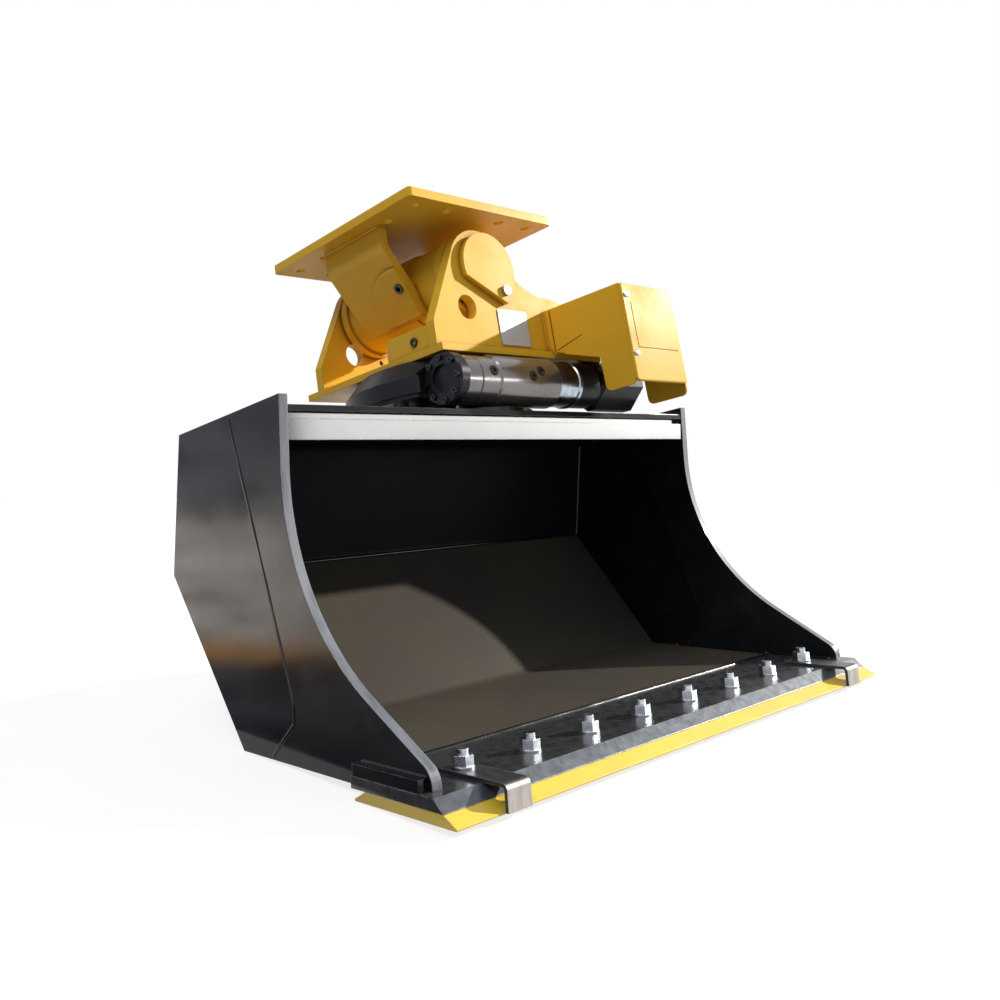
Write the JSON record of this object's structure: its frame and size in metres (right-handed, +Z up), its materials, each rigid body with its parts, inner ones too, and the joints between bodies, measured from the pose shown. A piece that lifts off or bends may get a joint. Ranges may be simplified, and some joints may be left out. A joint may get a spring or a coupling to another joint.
{
  "type": "tilt rotating bucket",
  "caption": "Wide grading bucket with a bolt-on edge, slewing on a worm drive and tilting on a helical actuator under a drilled hitch plate.",
  "frame": {"origin": "centre of the whole part's box at ground level, with the bucket standing on its edge and heel pads", "axes": "+X along the bucket's width to its right, +Y to its back, +Z up; the head leans back by 9.5 degrees with the bucket's top"},
  "size_m": [1.31, 1.034, 1.0909],
  "materials": {
    "black_paint": "gloss black",
    "yellow_paint": "semi-gloss yellow",
    "lip_steel": "satin black, worn bevel",
    "zinc_steel": "bright zinc",
    "black_steel": "black oxide",
    "machined_steel": "turned",
    "bronze": "turned",
    "seal_rubber": "matt",
    "label_metal": "satin, blank"
  },
  "bodies": {
    "bucket": {"bucket_shell": "black_paint", "side_plate_left": "black_paint", "side_plate_right": "black_paint", "cheek_left": "black_paint", "cheek_right": "black_paint", "top_beam": "black_paint", "lip_plate": "lip_steel", "lip_side_bars": "black_paint", "cutting_edge": "yellow_paint", "edge_bolts": "zinc_steel", "edge_washers": "zinc_steel", "edge_nuts": "zinc_steel", "edge_strap_left": "lip_steel", "edge_strap_right": "lip_steel", "mount_plate": "black_paint", "rear_gussets": "black_paint", "heel_pads": "black_paint", "slew_hub": "black_paint", "worm_wheel": "bronze", "ring_bolts": "zinc_steel", "swivel_core": "black_paint"},
    "tilt_frame": {"gear_case": "black_paint", "case_cover": "black_paint", "cover_bolts": "zinc_steel", "slew_bush": "bronze", "slew_thrust_rings": "bronze", "dust_seal": "seal_rubber", "case_plugs": "black_steel", "worm_end_cap": "black_paint", "end_cap_bolts": "black_steel", "worm_bearings": "machined_steel", "motor_adapter": "machined_steel", "slew_motor": "black_paint", "lower_plate": "yellow_paint", "plate_bolts": "zinc_steel", "front_ear": "yellow_paint", "rear_ear": "yellow_paint", "front_flag": "yellow_paint", "rear_flag": "yellow_paint", "flag_bolts": "zinc_steel", "tilt_shaft": "machined_steel", "tilt_thrust_rings": "bronze", "label_plate": "label_metal", "manifold": "yellow_paint", "manifold_ports": "black_steel", "guard_box": "yellow_paint", "guard_front": "yellow_paint", "guard_screws": "zinc_steel"},
    "worm": {"worm_shaft": "machined_steel"},
    "upper_bracket": {"top_plate": "yellow_paint", "v_plate_left": "yellow_paint", "v_plate_right": "yellow_paint", "tilt_pad_left": "yellow_paint", "tilt_pad_right": "yellow_paint", "actuator_tube": "yellow_paint", "front_gland": "yellow_paint", "rear_gland": "yellow_paint", "gland_bolts": "zinc_steel", "tilt_ports": "black_steel"},
    "piston": {"piston": "machined_steel"}
  },
  "joints": [
    {"name": "slew", "type": "hinge", "parent": "bucket", "child": "tilt_frame", "pos_m": [0, 0.15753, 0.71069], "axis": [0, 0.165, 0.9863], "continuous": true},
    {"name": "tilt", "type": "hinge", "parent": "tilt_frame", "child": "upper_bracket", "pos_m": [0, 0.23492, 0.90052], "axis": [0, 0.9863, -0.165], "range_deg": [-38, 38]},
    {"name": "worm_turn", "type": "hinge", "parent": "tilt_frame", "child": "worm", "pos_m": [0, -0.02004, 0.67957], "axis": [1, 0, 0], "continuous": true},
    {"name": "piston_slide", "type": "slide", "parent": "upper_bracket", "child": "piston", "axis": [0, 0.9863, -0.165], "range_m": [-0.03, 0.03]}
  ],
  "couplings": [
    {"joint": "worm_turn", "follows": "slew", "ratio": 48},
    {"joint": "piston_slide", "follows": "tilt", "m_per_rad": 0.04}
  ]
}
